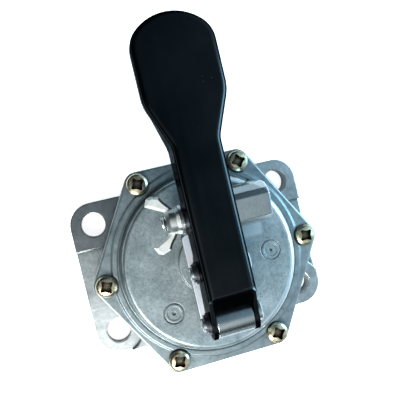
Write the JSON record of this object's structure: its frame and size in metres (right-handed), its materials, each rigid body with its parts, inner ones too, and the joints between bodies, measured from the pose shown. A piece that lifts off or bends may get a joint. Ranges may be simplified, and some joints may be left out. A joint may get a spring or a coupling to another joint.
{
  "type": "hand primer pump",
  "caption": "Hand diaphragm primer pump: hexagonal cast cover, rectangular mounting plate, black lever with a wide paddle, wing nut lock.",
  "frame": {"origin": "centre of the flat mounting face, in the middle of its four holes", "axes": "+Z out of the cover, away from the mounting face; +Y along the lever to its paddle; +X towards the lock boss"},
  "size_m": [0.1092, 0.1383, 0.071],
  "materials": {
    "cast_housing": "satin as-cast",
    "cast_cover": "satin as-cast",
    "yellow_zinc": "yellow passivated zinc",
    "bush_brass": "turned",
    "seal_rubber": "matt",
    "zinc_steel": "bright zinc",
    "diaphragm_rubber": "cloth-backed, matt",
    "spring_steel": "drawn wire",
    "valve_brass": "turned",
    "lever_black": "gloss black",
    "clip_steel": "dark spring steel",
    "rod_steel": "ground",
    "plate_steel": "pressed, zinc",
    "bright_zinc": "bright zinc",
    "valve_rubber": "matt"
  },
  "bodies": {
    "housing": {"pump_housing": "cast_housing", "top_cover": "cast_cover", "cover_screws": "yellow_zinc", "rod_bush": "bush_brass", "rod_seal": "seal_rubber", "lock_stud": "zinc_steel", "diaphragm": "diaphragm_rubber", "return_spring": "spring_steel", "inlet_valve_seat": "valve_brass", "inlet_valve_retainer": "valve_brass", "inlet_valve_spring": "spring_steel", "inlet_port_ring": "seal_rubber", "outlet_valve_seat": "valve_brass", "outlet_valve_retainer": "valve_brass", "outlet_valve_spring": "spring_steel", "outlet_port_ring": "seal_rubber"},
    "lever": {"lever": "lever_black", "pivot_pin": "zinc_steel", "pivot_pin_washer": "zinc_steel", "pivot_pin_clip": "clip_steel", "rod_pin": "zinc_steel", "rod_pin_washer": "zinc_steel", "rod_pin_clip": "clip_steel"},
    "rod": {"pull_rod": "rod_steel", "spring_cap": "zinc_steel", "upper_diaphragm_plate": "plate_steel", "lower_diaphragm_plate": "plate_steel", "rod_nut": "zinc_steel"},
    "lock_washer": {"lock_washer": "zinc_steel"},
    "lock_nut": {"wing_nut": "bright_zinc"},
    "inlet_disc": {"inlet_valve_disc": "valve_rubber"},
    "outlet_disc": {"outlet_valve_disc": "valve_rubber"}
  },
  "joints": [
    {"name": "lever_pivot", "type": "hinge", "parent": "housing", "child": "lever", "pos_m": [0, -0.0198, 0.058], "axis": [1, 0, 0], "range_deg": [0, 25]},
    {"name": "rod_lift", "type": "slide", "parent": "housing", "child": "rod", "axis": [0, 0, 1], "range_m": [0, 0.00837], "deforming": ["return_spring", "diaphragm"]},
    {"name": "nut_travel", "type": "slide", "parent": "housing", "child": "lock_washer", "axis": [-1, 0, 0], "range_m": [0, 0.002]},
    {"name": "nut_turn", "type": "hinge", "parent": "lock_washer", "child": "lock_nut", "pos_m": [0, 0.0205, 0.051], "axis": [-1, 0, 0], "range_deg": [0, 720]},
    {"name": "inlet_disc_lift", "type": "slide", "parent": "housing", "child": "inlet_disc", "axis": [0, 0, 1], "range_m": [0, 0.0016], "stiffness_N_per_m": 60, "springref_m": -0.002, "deforming": ["inlet_valve_spring"]},
    {"name": "outlet_disc_lift", "type": "slide", "parent": "housing", "child": "outlet_disc", "axis": [0, 0, -1], "range_m": [0, 0.0016], "stiffness_N_per_m": 60, "springref_m": -0.002, "deforming": ["outlet_valve_spring"]}
  ],
  "couplings": [
    {"joint": "rod_lift", "follows": "lever_pivot", "m_per_rad": 0.019178},
    {"joint": "nut_turn", "follows": "nut_travel", "rad_per_m": 6283.2}
  ]
}
